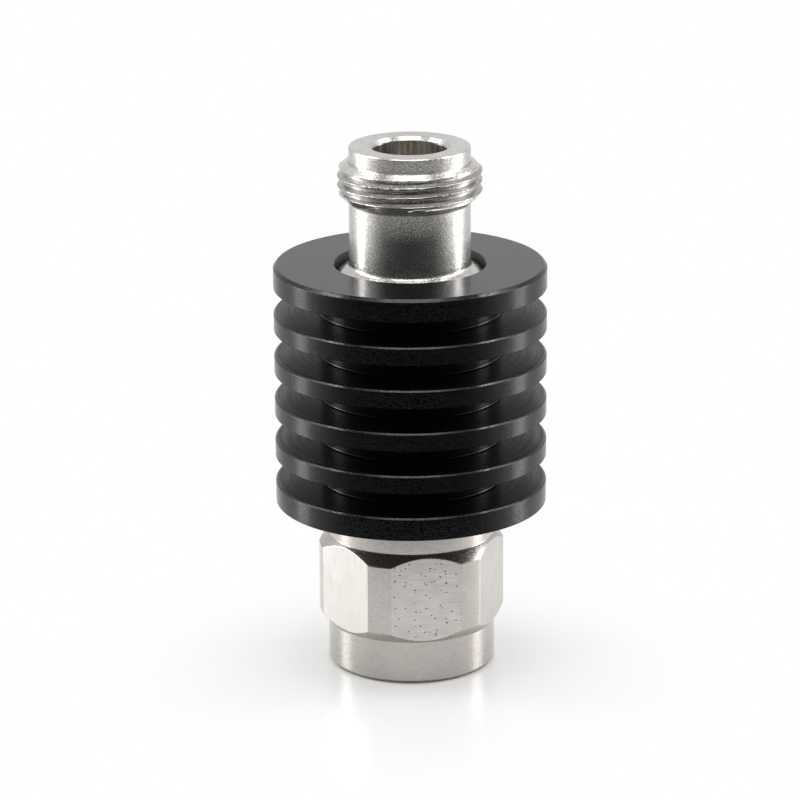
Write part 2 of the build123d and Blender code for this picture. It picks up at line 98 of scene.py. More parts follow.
def latheSmear(tree, amount):
    # Lathe marks run round the axis, so they smear a reflection along it, a quarter turn from themselves
    tangent = addNode(tree, "ShaderNodeTangent", {"direction_type": "RADIAL", "axis": "Z"}, {})
    return {"Anisotropic": amount, "Anisotropic Rotation": 0.25, "Tangent": tangent}


rgba = {"data_type": "RGBA"}
anodise = {"ior": 1.38, "smear": 0.1, "grain": 0.16, "speckDepth": 0.004, "lines": 0.22, "lineStrength": 0.5,
           # noise levels between which specks rise, the paler tint comes in and the face turns rougher
           "specks": (0.5, 0.64), "pale": (0.45, 0.75), "rough": (0.42, 0.6)}
anodisedFaces = {
    # material: (colour, paler colour, least and greatest roughness, depth of the turning lines in
    # millimetres, whether its roughness follows these lines and not the grain)
    "blackAnodisedAluminium": ("#060606", "#0a0a0a", 0.05, 0.26, 0.004, False),
    # between the fins, where the grooving tool left coarser rings
    "roughTurnedBlackAnodise": ("#060606", "#0e0e0e", 0.28, 0.39, 0.02, True),
    # the recess's wall: its boring marks are in its bump and roughness, and its dark grey colour is painted
    # light over what is black anodise like the rest
    "boredBlackAnodisePaintedLight": ("#545454", "#626262", 0.34, 0.5, 0.01, True),
}


def blackAnodisedAluminium(name):
    # Aluminium turned on a lathe and anodised black: satin, with a fine grain where it faces a light, and
    # faint turning rings. The grain is drawn at 0.16 mm, coarser than the real etch, so that it shows.
    a = anodise
    colour, paler, leastRough, mostRough, lineDepth, ringed = anodisedFaces[name]
    material, tree, place = newMaterial(name)
    fine = addNode(tree, "ShaderNodeTexNoise", {}, {"Vector": place, "Scale": 1 / a["grain"], "Detail": 3})
    turning = {"Vector": aroundAxis(tree, place), "Scale": 1 / a["lines"]}
    rings = addNode(tree, "ShaderNodeTexNoise", {}, turning)
    specks = addNode(tree, "ShaderNodeMapRange", {}, {0: fine, 1: a["specks"][0], 2: a["specks"][1]})
    tint = addNode(tree, "ShaderNodeMapRange", {}, {0: fine, 1: a["pale"][0], 2: a["pale"][1]})
    tints = {0: tint, 6: hexColour(colour), 7: hexColour(paler)}
    followed = rings if ringed else fine
    rough = {0: followed, 1: a["rough"][0], 2: a["rough"][1], 3: leastRough, 4: mostRough}
    lines = {"Height": rings, "Distance": lineDepth * mm, "Strength": a["lineStrength"]}
    grain = {"Height": specks, "Distance": a["speckDepth"] * mm,
             "Normal": addNode(tree, "ShaderNodeBump", {}, lines)}
    surface = addNode(tree, "ShaderNodeBsdfPrincipled", {}, {
        "Base Color": addNode(tree, "ShaderNodeMix", rgba, tints, 2), "IOR": a["ior"],
        "Roughness": addNode(tree, "ShaderNodeMapRange", {}, rough),
        "Normal": addNode(tree, "ShaderNodeBump", {}, grain), **latheSmear(tree, a["smear"])})
    addNode(tree, "ShaderNodeOutputMaterial", {}, {"Surface": surface})
    return material


nickel = {"grain": 0.15, "noduleDepth": 0.007, "blotch": 1.1, "blotchDepth": 0.003, "lines": 0.2,
          # noise levels between which nodules rise, the brighter tint comes in and the face turns smoother
          "nodules": (0.56, 0.66), "bright": (0.75, 1.25), "smooth": (0.4, 0.6)}
nickelFaces = {
    # material: (colour, duller colour, depth of the lathe lines in millimetres, greatest and least
    # roughness, how far the lines smear a reflection)
    "brightNickelPlate": ("#dad8d5", "#c8c5c1", 0.001, 0.3, 0.18, 0.85),
    # the cut thread's nickel has darker colours than the plate elsewhere: painted shade over the thread
    "cutThreadNickelPaintedShade": ("#b8b6b3", "#9f9c99", 0.014, 0.24, 0.12, 0.1),
    "flaredNickelPlate": ("#dad8d5", "#c8c5c1", 0.014, 0.24, 0.12, 0.1),
}


def brightNickelPlate(name):
    # Bright nickel over turned brass: it mirrors the studio, smeared along the axis by the lathe marks and
    # broken up by nodules in the plate. They are drawn at 0.15 mm, coarser than real, so that they show.
    n = nickel
    colour, dull, lineDepth, mostRough, leastRough, smear = nickelFaces[name]
    material, tree, place = newMaterial(name)
    fine = addNode(tree, "ShaderNodeTexNoise", {}, {"Vector": place, "Scale": 1 / n["grain"], "Detail": 3})
    blotch = addNode(tree, "ShaderNodeTexNoise", {}, {"Vector": place, "Scale": 1 / n["blotch"], "Detail": 4})
    turning = {"Vector": aroundAxis(tree, place), "Scale": 1 / n["lines"]}
    rings = addNode(tree, "ShaderNodeTexNoise", {}, turning)
    nodules = addNode(tree, "ShaderNodeMapRange", {}, {0: fine, 1: n["nodules"][0], 2: n["nodules"][1]})
    both = addNode(tree, "ShaderNodeMath", {"operation": "ADD"}, {0: fine, 1: blotch})
    tint = addNode(tree, "ShaderNodeMapRange", {}, {0: both, 1: n["bright"][0], 2: n["bright"][1]})
    tints = {0: tint, 6: hexColour(dull), 7: hexColour(colour)}
    rough = {0: fine, 1: n["smooth"][0], 2: n["smooth"][1], 3: mostRough, 4: leastRough}
    lathed = addNode(tree, "ShaderNodeBump", {}, {"Height": rings, "Distance": lineDepth * mm})
    waves = {"Height": blotch, "Distance": n["blotchDepth"] * mm, "Normal": lathed}
    grain = {"Height": nodules, "Distance": n["noduleDepth"] * mm,
             "Normal": addNode(tree, "ShaderNodeBump", {}, waves)}
    surface = addNode(tree, "ShaderNodeBsdfPrincipled", {}, {
        "Base Color": addNode(tree, "ShaderNodeMix", rgba, tints, 2), "Metallic": 1.0,
        "Roughness": addNode(tree, "ShaderNodeMapRange", {}, rough),
        "Normal": addNode(tree, "ShaderNodeBump", {}, grain), **latheSmear(tree, smear)})
    addNode(tree, "ShaderNodeOutputMaterial", {}, {"Surface": surface})
    return material


# the bore's colours are paler than nickel, painted light down the bore; the streaks between them are the
# reamer's
boreFinishAndPaintedLight = {"colour": "#f4f1ee", "dull": "#b5afaa", "tint": (0.35, 0.65), "roughness": 0.26, "smear": 0.45,
              "streak": 0.5, "drawnOut": (1, 1, 0.08), "depth": 0.03, "strength": 0.6}


def boredNickelPaintedLight():
    # The same plate down a bore, with the streaks that the reamer left along it, in colours paler than the
    # plate outside: painted light down the bore
    b = boreFinishAndPaintedLight
    material, tree, place = newMaterial("boredNickelPaintedLight")
    along = addNode(tree, "ShaderNodeVectorMath", {"operation": "MULTIPLY"}, {0: place, 1: b["drawnOut"]})
    drawn = {"Vector": along, "Scale": 1 / b["streak"], "Detail": 3}
    streaks = addNode(tree, "ShaderNodeTexNoise", {}, drawn)
    tint = addNode(tree, "ShaderNodeMapRange", {}, {0: streaks, 1: b["tint"][0], 2: b["tint"][1]})
    tints = {0: tint, 6: hexColour(b["dull"]), 7: hexColour(b["colour"])}
    relief = {"Height": streaks, "Distance": b["depth"] * mm, "Strength": b["strength"]}
    surface = addNode(tree, "ShaderNodeBsdfPrincipled", {}, {
        "Base Color": addNode(tree, "ShaderNodeMix", rgba, tints, 2), "Metallic": 1.0,
        "Roughness": b["roughness"], "Normal": addNode(tree, "ShaderNodeBump", {}, relief),
        **latheSmear(tree, b["smear"])})
    addNode(tree, "ShaderNodeOutputMaterial", {}, {"Surface": surface})
    return material


nutFinish = {"cloud": 2.2, "grain": 0.15, "grainDepth": 0.004, "grainStrength": 0.4, "lineStrength": 0.5,
             # noise levels between which the brighter tint comes in and the face turns smoother
             "bright": (0.6, 1.4), "smooth": (0.3, 0.7),
             # pits: their radius, spacing, how they are drawn out, the noise levels between which a place
             # gets one, the size of their patches, their depth, their soft edge as shares of the radius
             "pit": 0.085, "pitSpacing": 0.28, "pitDrawnOut": (0.5, 0.5, 1), "pitFrom": (1.05, 1.07),
             "pitPatch": 1.6, "pitDepth": 0.03, "pitEdge": (0.5, 0.8), "pitColour": "#5a524b"}
nutFaces = {
    # material: (colour, duller colour, greatest and least roughness, width and depth of the lines in
    # millimetres, how the lines are drawn out, with a small number along them, whether it has pits)
    # the turned faces have darker colours than the flats' nickel: painted shade on the turned faces
    "turnedSatinNickelPaintedShade": ("#c0bbb7", "#b7b1ac", 0.29, 0.19, 0.12, 0.0012, (0.2, 0.2, 1), False),
    "acrossMilledSatinNickel": ("#d8d3cf", "#c4beba", 0.37, 0.27, 0.1, 0.005, (0.05, 0.05, 1), True),
    "alongMilledSatinNickel": ("#cac6c2", "#bcb7b3", 0.39, 0.29, 0.12, 0.005, (1, 1, 0.04), False),
}


def satinNickelPlate(name):
    # Satin nickel over steel: the cutter's fine lines, a faint cloudiness and, on one finish, a few pits.
    # The lines and the grain are drawn at 0.1 mm and more, coarser than real, so that they show.
    n = nutFinish
    colour, dull, mostRough, leastRough, lineWidth, lineDepth, drawnOut, pitted = nutFaces[name]
    material, tree, place = newMaterial(name)
    stretched = addNode(tree, "ShaderNodeVectorMath", {"operation": "MULTIPLY"}, {0: place, 1: drawnOut})
    lines = addNode(tree, "ShaderNodeTexNoise", {}, {"Vector": stretched, "Scale": 1 / lineWidth})
    cloud = addNode(tree, "ShaderNodeTexNoise", {}, {"Vector": place, "Scale": 1 / n["cloud"], "Detail": 3})
    fine = addNode(tree, "ShaderNodeTexNoise", {}, {"Vector": place, "Scale": 1 / n["grain"]})
    both = addNode(tree, "ShaderNodeMath", {"operation": "ADD"}, {0: lines, 1: cloud})
    tint = addNode(tree, "ShaderNodeMapRange", {}, {0: both, 1: n["bright"][0], 2: n["bright"][1]})
    tints = {0: tint, 6: hexColour(dull), 7: hexColour(colour)}
    shade = addNode(tree, "ShaderNodeMix", rgba, tints, 2)
    rough = {0: lines, 1: n["smooth"][0], 2: n["smooth"][1], 3: mostRough, 4: leastRough}
    relief = {"Height": lines, "Distance": lineDepth * mm, "Strength": n["lineStrength"]}
    grain = {"Height": fine, "Distance": n["grainDepth"] * mm, "Strength": n["grainStrength"],
             "Normal": addNode(tree, "ShaderNodeBump", {}, relief)}
    normal = addNode(tree, "ShaderNodeBump", {}, grain)
    if pitted:
        # the pits lie in patches, each a short dash across the flat
        stretch = {0: place, 1: n["pitDrawnOut"]}
        dashes = addNode(tree, "ShaderNodeVectorMath", {"operation": "MULTIPLY"}, stretch)
        scattered = {"Vector": dashes, "Scale": 1 / n["pitSpacing"]}
        cells = addNode(tree, "ShaderNodeTexVoronoi", {}, scattered).node.outputs
        chance = addNode(tree, "ShaderNodeSeparateColor", {}, {0: cells["Color"]})
        patches = addNode(tree, "ShaderNodeTexNoise", {}, {"Vector": place, "Scale": 1 / n["pitPatch"]})
        likely = addNode(tree, "ShaderNodeMath", {"operation": "ADD"}, {0: chance, 1: patches})
        rare = {0: likely, 1: n["pitFrom"][0], 2: n["pitFrom"][1]}
        chosen = addNode(tree, "ShaderNodeMapRange", {}, rare)
        whole, gone = [n["pit"] / n["pitSpacing"] * share for share in n["pitEdge"]]
        fading = {0: cells["Distance"], 1: whole, 2: gone, 3: 1, 4: 0}
        spot = addNode(tree, "ShaderNodeMapRange", {}, fading)
        pit = addNode(tree, "ShaderNodeMath", {"operation": "MULTIPLY"}, {0: spot, 1: chosen})
        shade = addNode(tree, "ShaderNodeMix", rgba, {0: pit, 6: shade, 7: hexColour(n["pitColour"])}, 2)
        hollow = {"Height": pit, "Distance": -n["pitDepth"] * mm, "Normal": normal}
        normal = addNode(tree, "ShaderNodeBump", {}, hollow)
    surface = addNode(tree, "ShaderNodeBsdfPrincipled", {}, {
        "Base Color": shade, "Metallic": 1.0, "Normal": normal,
        "Roughness": addNode(tree, "ShaderNodeMapRange", {}, rough)})
    addNode(tree, "ShaderNodeOutputMaterial", {}, {"Surface": surface})
    return material


mottle = {"tint": (0.35, 0.65), "depth": 0.004, "strength": 0.5}
hiddenFinishes = {
    # material slot: (material, colour, shade, grain in millimetres, roughness, metallic, IOR)
    # spring steel, blued a little by its hardening
    "spring_steel": ("springSteel", "#8d8a86", "#6f6c69", 0.3, 0.3, 1.0, 1.5),
    # gold flashed thinly over nickel on the centre contacts: a soft, pale warm mirror
    "gold_plate": ("goldPlate", "#d6c49c", "#c0ac84", 0.2, 0.2, 1.0, 1.5),
    # turned PTFE: milky white, waxy
    "white_insulator": ("turnedPtfe", "#f1f0ea", "#e4e2da", 0.5, 0.42, 0.0, 1.38),
    # moulded silicone rubber ring: brick red, matt
    "red_rubber": ("siliconeRubber", "#a8443a", "#8f372f", 0.3, 0.6, 0.0, 1.41),
    # plain machined aluminium of the carrier: pale, softly shiny
    "bare_aluminium": ("machinedAluminium", "#c9cacb", "#b3b4b6", 0.2, 0.32, 1.0, 1.5),
    # fired alumina: chalky white
    "chip_ceramic": ("firedCeramic", "#e9e7e0", "#dcd9d0", 0.15, 0.55, 0.0, 1.7),
    # fired resistor ink: matt dark brown
    "resistor_ink": ("resistorInk", "#2b2420", "#1f1a17", 0.1, 0.6, 0.0, 1.5),
    # fired silver ink: pale matt metal
    "silver_ink": ("silverInk", "#d7d5d0", "#c3c0ba", 0.1, 0.4, 1.0, 1.5),
}


def mottledFinish(name, colour, shade, size, roughness, metallic, ior):
    # Two near colours in a fine mottle with a little bump, for the pieces inside
    m = mottle
    material, tree, place = newMaterial(name)
    fine = addNode(tree, "ShaderNodeTexNoise", {}, {"Vector": place, "Scale": 1 / size, "Detail": 3})
    tint = addNode(tree, "ShaderNodeMapRange", {}, {0: fine, 1: m["tint"][0], 2: m["tint"][1]})
    tints = {0: tint, 6: hexColour(shade), 7: hexColour(colour)}
    relief = {"Height": fine, "Distance": m["depth"] * mm, "Strength": m["strength"]}
    surface = addNode(tree, "ShaderNodeBsdfPrincipled", {}, {
        "Base Color": addNode(tree, "ShaderNodeMix", rgba, tints, 2), "Roughness": roughness,
        "Metallic": metallic, "IOR": ior, "Normal": addNode(tree, "ShaderNodeBump", {}, relief)})
    addNode(tree, "ShaderNodeOutputMaterial", {}, {"Surface": surface})
    return material


blackAnodise, roughTurned, boredAnodisePaintedLight = [blackAnodisedAluminium(name) for name in anodisedFaces]
brightNickel, cutThreadPaintedShade, flaredNickel = [brightNickelPlate(name) for name in nickelFaces]
boreNickelPaintedLight = boredNickelPaintedLight()
turnedNutPaintedShade, milledAcross, milledAlong = [satinNickelPlate(name) for name in nutFaces]
finishes = {slot: mottledFinish(*values) for slot, values in hiddenFinishes.items()}
finishes.update({"nickel_plate": brightNickel, "black_anodised": blackAnodise, "nut_steel": turnedNutPaintedShade})
for subpart in frame["record"]["subparts"]:
    solid = frame["nodes"][subpart["node"]]
    solid.data.materials.clear()
    solid.data.materials.append(finishes[subpart["material_slot"]])
print("materials made")

# Shapes. A value whose name ends in Soft is a corner's softness, which the next function takes.
softening = {"steps": 3, "mostOfSide": 0.35, "hold": 0.04, "mostHoldOfSide": 0.1}
sharpFrom = 38            # an edge between faces that turn by this many degrees stays sharp


def softened(corners):
    # Each corner is (radius, height, softness). A soft corner becomes a small curve with a point held
    # close on either side of it, so that the faces beside it stay flat to the eye.
    s = softening
    outline = []
    for i, (radius, height, softness) in enumerate(corners):
        here = Vector((radius, height))
        if not softness:
            outline.append(here)
            continue
        before = Vector(corners[i - 1][:2]) - here
        after = Vector(corners[(i + 1) % len(corners)][:2]) - here
        reach = min(softness, s["mostOfSide"] * before.length, s["mostOfSide"] * after.length)
        first = here + before.normalized() * reach
        last = here + after.normalized() * reach
        held = min(s["hold"], s["mostHoldOfSide"] * before.length)
        outline.append(first + before.normalized() * held)
        for step in range(s["steps"] + 1):
            t = step / s["steps"]
            outline.append(first * (1 - t) ** 2 + here * 2 * t * (1 - t) + last * t * t)
        held = min(s["hold"], s["mostHoldOfSide"] * after.length)
        outline.append(last + after.normalized() * held)
    return outline


def evenAngles(count):
    return [2 * math.pi * i / count for i in range(count + 1)]


def turned(name, outlineAt, angles, body, node, materials, paint):
    # Joins one closed outline for each angle into a solid. Angle 0 faces the camera (-Y) and angles
    # grow towards +X. "paint" gives the number of a face's material from its angle, radius and height.
    outlines = [outlineAt(angle) for angle in angles]
    rows = len(outlines[0])
    points = []
    for angle, outline in zip(angles, outlines):
        points += [(p.x * math.sin(angle) * mm, -p.x * math.cos(angle) * mm, p.y * mm) for p in outline]
    faces = []
    for j in range(len(angles) - 1):
        for i in range(rows):
            k = (i + 1) % rows
            faces.append((j * rows + i, (j + 1) * rows + i, (j + 1) * rows + k, j * rows + k))
    mesh = bpy.data.meshes.new(name)
    mesh.from_pydata(points, [], faces)
    shape = bmesh.new()
    shape.from_mesh(mesh)
    bmesh.ops.remove_doubles(shape, verts=shape.verts, dist=1e-7)      # closes the seam
    bmesh.ops.recalc_face_normals(shape, faces=shape.faces)
    for face in shape.faces:
        face.smooth = True
        centre = face.calc_center_median() / mm
        angle, radius = math.atan2(centre.x, -centre.y), math.hypot(centre.x, centre.y)
        face.material_index = paint(angle, radius, centre.z)
    shape.to_mesh(mesh)
    shape.free()
    mesh.set_sharp_from_angle(angle=math.radians(sharpFrom))
    for material in materials:
        mesh.materials.append(material)
    piece = bpy.data.objects.new(name, mesh)
    scene.collection.objects.link(piece)
    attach(piece, body)
    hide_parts(node)


thread = {"pitch": 25.4 / 24, "major": 7.9, "flank": math.radians(30), "grooveAt": 55.44,
          "besideCorner": 0.012, "flankRows": 6,      # the mesh's rows beside a corner and down a flank
          # ragged crests: how far down they go, their depth, their share and how many to a millimetre
          "crest": 0.1, "burr": 0.05, "burrShare": 0.1, "burrs": 3.0,
          # the tool's lines on the flanks: their depth and how many to a millimetre round and up
          "chatter": 0.012, "chatterRound": 0.4, "chatterUp": 6}
thread["depth"] = 5 / 16 * math.sqrt(3) * thread["pitch"]
thread["rootHalf"] = thread["pitch"] / 8
thread["mouthHalf"] = thread["rootHalf"] + thread["depth"] * math.tan(thread["flank"])


def threadRows(start, bottom, top):
    # Heights of the mesh's rows at angle 0. Rows climb one pitch in a turn, so they begin early and end
    # late. They lie close at the corners of the groove and evenly between them.
    edge, flankRows = thread["besideCorner"], thread["flankRows"]
    rootHalf, mouthHalf, half = thread["rootHalf"], thread["mouthHalf"], thread["pitch"] / 2
    side = [0, rootHalf - edge, rootHalf + edge]
    side += [rootHalf + (mouthHalf - rootHalf) * part / flankRows for part in range(1, flankRows)]
    side += [mouthHalf - edge, mouthHalf + edge]
    offsets = sorted([-s for s in side[1:]] + side + [half])
    rows = []
    first = math.floor((bottom - start) / thread["pitch"]) - 2
    last = math.ceil((top - start) / thread["pitch"]) + 1
    for turn in range(first, last + 1):
        rows += [start + turn * thread["pitch"] + offset for offset in offsets]
    return rows


def climbed(row, angle, bottom, top):
    # The height of a row at this angle, held between the ends of the thread
    return min(max(row + thread["pitch"] * angle / (2 * math.pi), bottom), top)


def grooveDepth(start, height, angle):
    # How deep the groove is at this height and angle, from 0 at a crest to the full depth at a root
    across = (height - thread["pitch"] * angle / (2 * math.pi) - start) / thread["pitch"]
    distance = abs(across - round(across)) * thread["pitch"]
    return min(max((thread["mouthHalf"] - distance) / math.tan(thread["flank"]), 0), thread["depth"])


# Heat sink
sinkLow, sinkHigh = nodeBox("heat_sink")
heatSink = {"fins": 6, "fin": 2.05, "endFin": 2.55, "core": 10.0, "rootSoft": 0.15,
            "topEdge": 0.36, "upperEdge": 0.22, "lowerEdge": 0.06, "edgeSoft": 0.05,
            "recess": 8.3, "recessDepth": 2.2, "recessEdge": 0.12, "recessSoft": 0.03, "floorSoft": 0.05,
            "bore": 6.0, "boss": 6.95, "bossDepth": 4.55, "columns": 256,      # mesh columns round it
            # the coarser rings stay this far outside the core, inside the rim and below the top, and a face
            # this near the recess's wall has its bored finish with painted grey light
            "ringsOutside": 0.2, "ringsInside": 0.3, "ringsBelow": 0.5, "wallMargin": 0.02}


def heatSinkOutline():
    h = heatSink
    rim = sinkHigh.x
    gap = (sinkHigh.z - sinkLow.z - 2 * h["endFin"] - (h["fins"] - 2) * h["fin"]) / (h["fins"] - 1)
    corners = [(h["bore"], sinkLow.z, 0)]
    bottom = sinkLow.z
    for fin in range(h["fins"]):
        thick = h["endFin"] if fin in (0, h["fins"] - 1) else h["fin"]
        top = bottom + thick
        if fin:
            corners.append((h["core"], bottom, h["rootSoft"]))
        below, above = h["lowerEdge"], h["topEdge"] if fin == h["fins"] - 1 else h["upperEdge"]
        corners += [(rim - below, bottom, 0), (rim, bottom + below, 0),
                    (rim, top - above, h["edgeSoft"]), (rim - above, top, h["edgeSoft"])]
        if fin < h["fins"] - 1:
            corners.append((h["core"], top, h["rootSoft"]))
        bottom = top + gap
    floor = sinkHigh.z - h["recessDepth"]
    step = floor - h["bossDepth"]
    corners += [(h["recess"] + h["recessEdge"], sinkHigh.z, h["recessSoft"]),
                (h["recess"], sinkHigh.z - h["recessEdge"], h["recessSoft"]),
                (h["recess"], floor, h["floorSoft"]), (h["boss"], floor, 0),
                (h["boss"], step, 0), (h["bore"], step, 0)]
    return softened(corners)


def sinkPaint(_, radius, height):
    # 1 between the fins, 2 on the recess's wall with its painted grey light, 0 elsewhere
    h = heatSink
    if radius < h["recess"] + h["wallMargin"] and height > sinkHigh.z - h["recessDepth"]:
        return 2
    grooved = h["core"] + h["ringsOutside"] < radius < sinkHigh.x - h["ringsInside"]
    return 1 if grooved and height < sinkHigh.z - h["ringsBelow"] else 0


sinkOutline = heatSinkOutline()
turned("heatSink", lambda angle: sinkOutline, evenAngles(heatSink["columns"]), "attenuator", "heat_sink",
       [blackAnodise, roughTurned, boredAnodisePaintedLight], sinkPaint)
print("heat sink made")

# Jack body
jackLow, jackHigh = nodeBox("jack_body")
jack = {"nose": 6.65, "noseLength": 1.65, "noseBevel": 0.13, "noseSoft": 0.05, "noseRootSoft": 0.04,
        "edgeWear": 0.15, "edgeNicks": 20,      # how uneven the nose's broken edge is, and how often
        "lead": 0.75, "leadShoulder": 0.27, "threadLength": 2.6, "exit": 1.25, "barrel": 6.65,
        # burrs on the lead: depth, how many to a millimetre, and the degrees between which it is clean
        "leadWear": 0.04, "leadBurrs": 3.2, "cleanLead": (-24, 36),
        "collar": 7.85, "collarEdge": 1.4, "collarSoft": (0.05, 0.06),
        # the flare above the collar: height of its cone, width of the hollow at its top, height of both,
        # mesh rows in each, and how deep and how often the cone is worn, round and up
        "cone": 0.6, "coneTop": 0.22, "flare": 1.0, "flareRows": 6,
        "coneWear": 0.05, "wearRound": 26, "wearUp": 5,
        "boss": 6.9, "bossLength": 4.45, "socket": 4.06, "socketBevel": 0.4, "socketDepth": 9.1,
        # the small groove inside the mouth
        "lipGroove": 0.1, "lipGrooveHeight": 0.14, "lipGrooveSlope": 0.02,
        "line": 3.5, "lineLength": 5.8, "counterbore": 4.9, "columns": 360,
        # a face up to this far outside the socket, or the barrel at its flare and its thread, has their
        # finish, and the thread's tool lines stop this far from its ends
        "socketMargin": 0.05, "flareMargin": 0.1, "threadMargin": 0.03, "lineMargin": 0.02}
jack["face"] = jackHigh.z
jack["noseBottom"] = jack["face"] - jack["noseLength"]
jack["threadTop"] = jack["noseBottom"] - jack["lead"]
jack["threadBottom"] = jack["threadTop"] - jack["threadLength"]
jack["barrelTop"] = jack["threadBottom"] - jack["exit"]
jack["seat"] = jackLow.z + jack["bossLength"]
jackRows = threadRows(thread["grooveAt"], jack["barrelTop"], jack["noseBottom"])


def roundNoise(angle, often, up=0.0):
    # Noise that closes on itself round the axis
    return noise.noise(Vector((often * math.sin(angle), often * math.cos(angle), up)))


def jackEnvelope(height):
    # The radius that the thread is cut into: a cone at each end and the crests between them
    up = (height - jack["barrelTop"]) / jack["exit"]
    down = (jack["noseBottom"] - height) / jack["lead"]
    start = jack["nose"] + jack["leadShoulder"]
    leaving = jack["barrel"] + (thread["major"] - jack["barrel"]) * up
    return max(min(leaving, start + (thread["major"] - start) * down, thread["major"]), jack["barrel"])


def jackThreadPoint(row, angle):
    t, j = thread, jack
    height = climbed(row, angle, j["barrelTop"], j["noseBottom"])
    radius = min(jackEnvelope(height), t["major"] - grooveDepth(t["grooveAt"], height, angle))
    place = Vector((t["major"] * math.sin(angle), t["major"] * math.cos(angle), height))
    if radius > t["major"] - t["crest"]:     # the crests are a little ragged
        radius -= t["burr"] * max(noise.noise(place * t["burrs"]) + t["burrShare"], 0)
    elif j["barrelTop"] + j["lineMargin"] < height < j["noseBottom"] - j["lineMargin"]:
        across, up = t["chatterRound"], t["chatterUp"]     # and the flanks carry the tool's lines
        radius += t["chatter"] * noise.noise(Vector((place.x * across, place.y * across, place.z * up)))
        clean = j["cleanLead"][0] < math.degrees(angle + math.pi) % 360 - 180 < j["cleanLead"][1]
        if height > j["threadTop"] and not clean:      # the lead is burred where the thread starts
            radius -= j["leadWear"] * abs(noise.noise(place * j["leadBurrs"]))
    return Vector((radius, height))


def jackOutline(angle):
    j = jack
    seat, face, rows = j["seat"], j["face"], j["flareRows"]
    ledge = face - j["socketDepth"] - j["lineLength"]
    collarTop = seat + j["collarEdge"]
    below = [(j["counterbore"], jackLow.z, 0), (j["boss"], jackLow.z, 0), (j["boss"], seat, 0),
             (j["collar"], seat, j["collarSoft"][0]), (j["collar"], collarTop, j["collarSoft"][1])]
    coneOut = j["collar"] - j["barrel"] - j["coneTop"]
    for step in range(1, rows + 1):      # the flare is a worn cone
        t = step / rows
        ragged = roundNoise(angle, j["wearRound"], j["wearUp"] * t) * 4 * t * (1 - t)
        radius = j["collar"] - coneOut * t + j["coneWear"] * ragged
        below.append((radius, collarTop + j["cone"] * t, 0))
    bend = j["cone"] * (1 + j["coneTop"] / coneOut)
    for step in range(1, rows + 1):      # which meets the barrel upright in a small hollow
        t = step / rows
        up = j["cone"] * (1 - t) ** 2 + 2 * bend * t * (1 - t) + j["flare"] * t * t
        below.append((j["barrel"] + j["coneTop"] * (1 - t) ** 2, collarTop + up, 0))
    below.append((j["barrel"], j["barrelTop"], 0))
    bevel = j["noseBevel"] * (1 + j["edgeWear"] * roundNoise(angle, j["edgeNicks"]))
    lip = face - j["socketBevel"]
    groove = j["socket"] + j["lipGroove"]
    above = [(j["nose"], j["noseBottom"], j["noseRootSoft"]), (j["nose"], face - bevel, j["noseSoft"]),
             (j["nose"] - bevel, face, j["noseSoft"]),
             (j["socket"] + j["socketBevel"], face, j["noseSoft"]),
             (j["socket"], lip, 0), (groove, lip - j["lipGrooveSlope"], 0),
             (groove, lip - j["lipGrooveHeight"], 0),
             (j["socket"], lip - j["lipGrooveHeight"] - j["lipGrooveSlope"], 0),
             (j["socket"], face - j["socketDepth"], 0), (j["line"], face - j["socketDepth"], 0),
             (j["line"], ledge, 0), (j["counterbore"], ledge, 0)]
    outline = softened(below + above)
    isBarrelEnd = [p.y > j["barrelTop"] - 1e-6 and p.x < j["barrel"] + 1e-6 for p in outline]
    barrelEnd = isBarrelEnd.index(True)
    cut = [jackThreadPoint(row, angle) for row in jackRows]
    return outline[:barrelEnd + 1] + cut + outline[barrelEnd + 1:]


def jackPaint(_, radius, height):
    # 0 for turned faces, 1 down the socket, whose nickel is painted paler as light, 2 on the cut thread,
    # whose nickel is painted darker as shade, 3 on its lower cone and on the flare
    j = jack
    socketTop = j["face"] - j["socketBevel"] - j["lipGrooveHeight"]
    if radius < j["socket"] + j["socketMargin"] and height < socketTop:
        return 1
    coneEnd = j["seat"] + j["collarEdge"] + j["cone"]
    if j["seat"] < height < coneEnd and radius > j["barrel"] + j["flareMargin"]:
        return 3
    if j["barrelTop"] < height < j["threadTop"] and radius > j["barrel"] + j["threadMargin"]:
        return 3 if height < j["threadBottom"] else 2
    return 0


turned("jackBody", jackOutline, evenAngles(jack["columns"]), "attenuator", "jack_body",
       [brightNickel, boreNickelPaintedLight, cutThreadPaintedShade, flaredNickel], jackPaint)
print("jack made")

# Coupling nut
nutTop = nodeBox("coupling_nut")[1].z
nut = {"ring": 9.26, "bar": 10.3, "flat": 9.525, "turn": math.radians(9.84), "frontRing": 4.85, "taper": 1.25,
       "barLength": 7.75, "frontBevel": 0.4, "frontSoft": (0.08, 0.1), "rearBevel": 0.3, "soft": 0.06,
       "countersink": 8.0, "threadStart": 0.02, "threadLength": 8.5, "relief": 8.1, "shoulder": 12.5,
       "rearBore": 6.93, "boreBevel": 0.1, "boreSoft": 0.03,
       "groove": 7.43, "grooveLow": 15.27, "grooveHigh": 16.33, "minor": 7.387, "edgeBlend": 0.035,
       "flatMargin": 0.02,      # a face this near a flat's plane has its finish
       # the mesh's columns: degrees beside an edge, how many on half a flat and on half an arc
       "besideEdge": (0.12, 0.35, 0.9), "flatColumns": 9, "arcColumns": 3}
nut["corner"] = math.acos(nut["flat"] / nut["bar"])       # half the angle that a flat spans
nut["threadEnd"] = nut["threadLength"] - 0.001      # just short of the relief
nutGrooveStart = 0.5 * thread["pitch"]
nutRows = threadRows(nutGrooveStart, nut["threadStart"], nut["threadEnd"])


